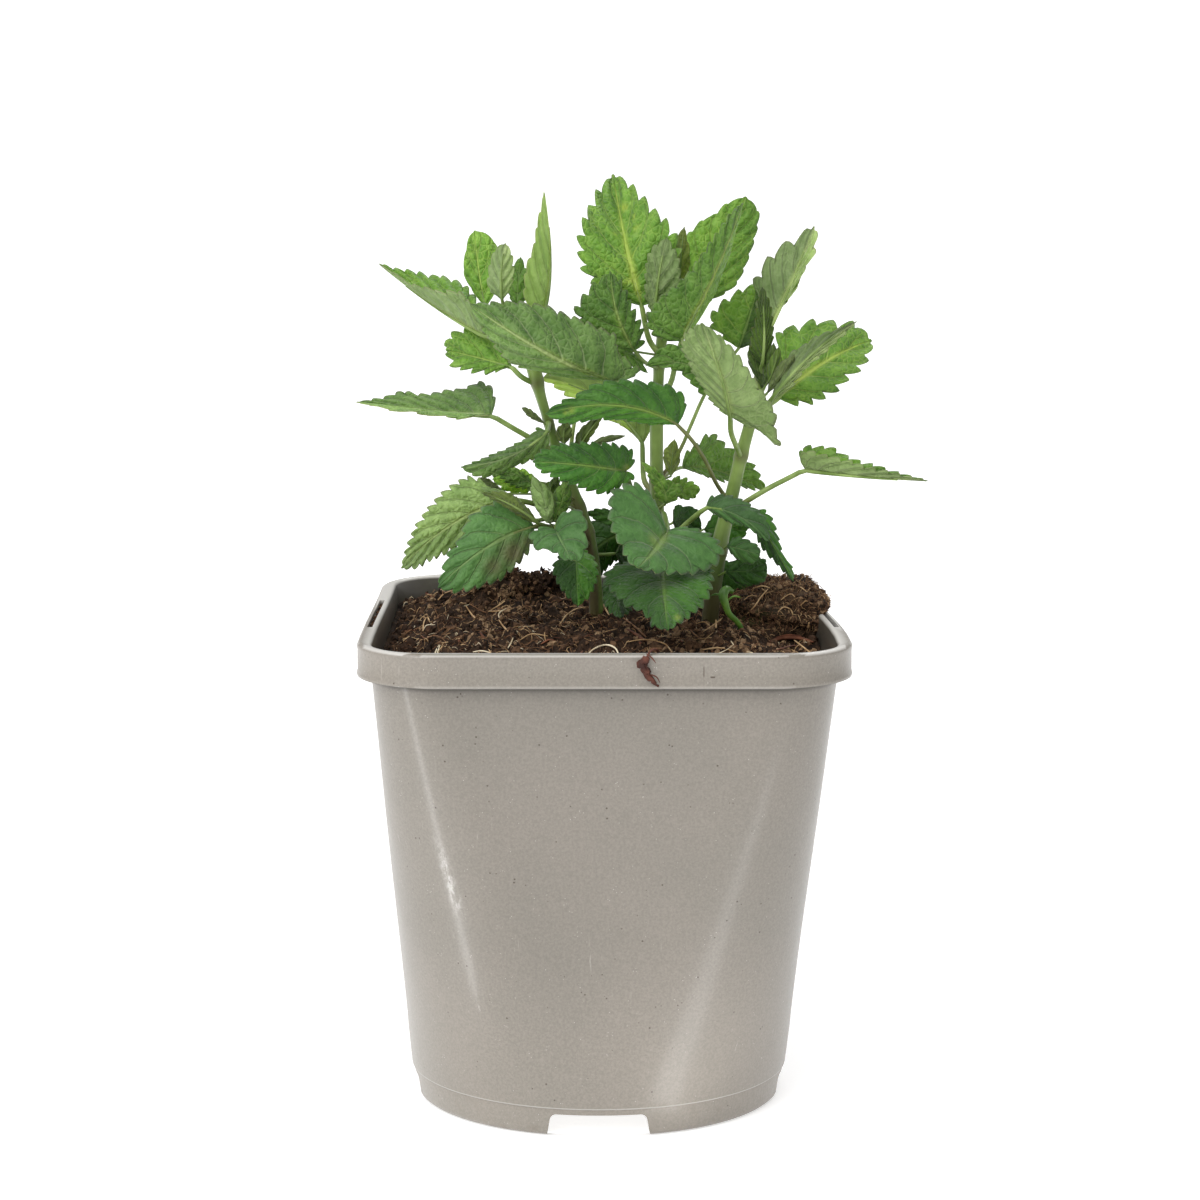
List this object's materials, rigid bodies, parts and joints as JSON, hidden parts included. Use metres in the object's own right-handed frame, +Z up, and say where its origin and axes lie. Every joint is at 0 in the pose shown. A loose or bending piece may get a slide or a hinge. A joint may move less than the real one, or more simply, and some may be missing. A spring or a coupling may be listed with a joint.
{
  "type": "potted giant hyssop",
  "caption": "Young giant hyssop herb with toothed heart-shaped leaves on upright stems, growing in peat in a square-to-round plastic nursery pot.",
  "frame": {"origin": "centre of the pot's flat underside, on the surface that it stands on", "axes": "+Z up along the plant's height, -Y towards the front panel of the pot that the picture shows, +X to that view's right"},
  "size_m": [0.1537, 0.1314, 0.2506],
  "materials": {
    "bark": "rough brown bark",
    "blue_green_leaf": "matt blue-green leaf",
    "young_leaf": "satin bright green leaf",
    "brown_green_leaf": "brownish green leaf",
    "old_leaf": "satin dark green leaf",
    "grey_green_leaf": "downy grey-green leaf",
    "light_leaf": "satin light green leaf",
    "middle_leaf": "satin green leaf",
    "peat": "matted brown peat with root fibres",
    "olive_leaf": "olive green leaf",
    "leaf_underside": "matt pale leaf underside",
    "pot_plastic": "satin moulded taupe plastic with scuffs",
    "potting_soil": "loose dark peat and wood fibre",
    "green_stem": "satin yellow-green square stem"
  },
  "bodies": {
    "root": {"bark_shred": "bark", "leaf_behind_center": "middle_leaf", "leaf_behind_large": "leaf_underside", "leaf_behind_pale": "grey_green_leaf", "leaf_center_bud": "brown_green_leaf", "leaf_center_dark": "old_leaf", "leaf_center_dark_back": "old_leaf", "leaf_center_shade": "old_leaf", "leaf_center_shoot_a": "middle_leaf", "leaf_center_shoot_b": "old_leaf", "leaf_center_small_dark": "old_leaf", "leaf_far_right": "middle_leaf", "leaf_front_center": "old_leaf", "leaf_front_large": "grey_green_leaf", "leaf_front_left": "old_leaf", "leaf_front_low": "old_leaf", "leaf_front_low_dark": "old_leaf", "leaf_heart_front": "middle_leaf", "leaf_left_bluegreen": "blue_green_leaf", "leaf_left_bright": "young_leaf", "leaf_left_bud_a": "brown_green_leaf", "leaf_left_bud_b": "olive_leaf", "leaf_left_center_down": "middle_leaf", "leaf_left_curled": "grey_green_leaf", "leaf_left_grey": "brown_green_leaf", "leaf_left_heart": "middle_leaf", "leaf_left_high": "middle_leaf", "leaf_left_narrow": "middle_leaf", "leaf_left_pale": "light_leaf", "leaf_left_shoot_a": "olive_leaf", "leaf_left_shoot_b": "olive_leaf", "leaf_left_small_bright": "young_leaf", "leaf_left_spire": "leaf_underside", "leaf_left_upright": "young_leaf", "leaf_left_young_dark": "old_leaf", "leaf_left_young_pale": "leaf_underside", "leaf_right_behind_stem": "old_leaf", "leaf_right_bluegreen": "blue_green_leaf", "leaf_right_bright": "young_leaf", "leaf_right_bud": "brown_green_leaf", "leaf_right_dark": "old_leaf", "leaf_right_dark_low": "old_leaf", "leaf_right_drooping": "old_leaf", "leaf_right_high": "grey_green_leaf", "leaf_right_low_front": "blue_green_leaf", "leaf_right_pale": "leaf_underside", "leaf_right_strip": "brown_green_leaf", "leaf_top_center": "young_leaf", "leaf_upper_back": "young_leaf", "leaf_upper_front": "middle_leaf", "leaf_young_brown": "brown_green_leaf", "leaf_young_pale": "leaf_underside", "leaf_young_ridged": "olive_leaf", "nursery_pot": "pot_plastic", "peat_clump": "peat", "potting_soil": "potting_soil", "seedling": "young_leaf", "stem_center": "green_stem", "stem_left": "green_stem", "stem_right": "green_stem"}
  },
  "joints": []
}
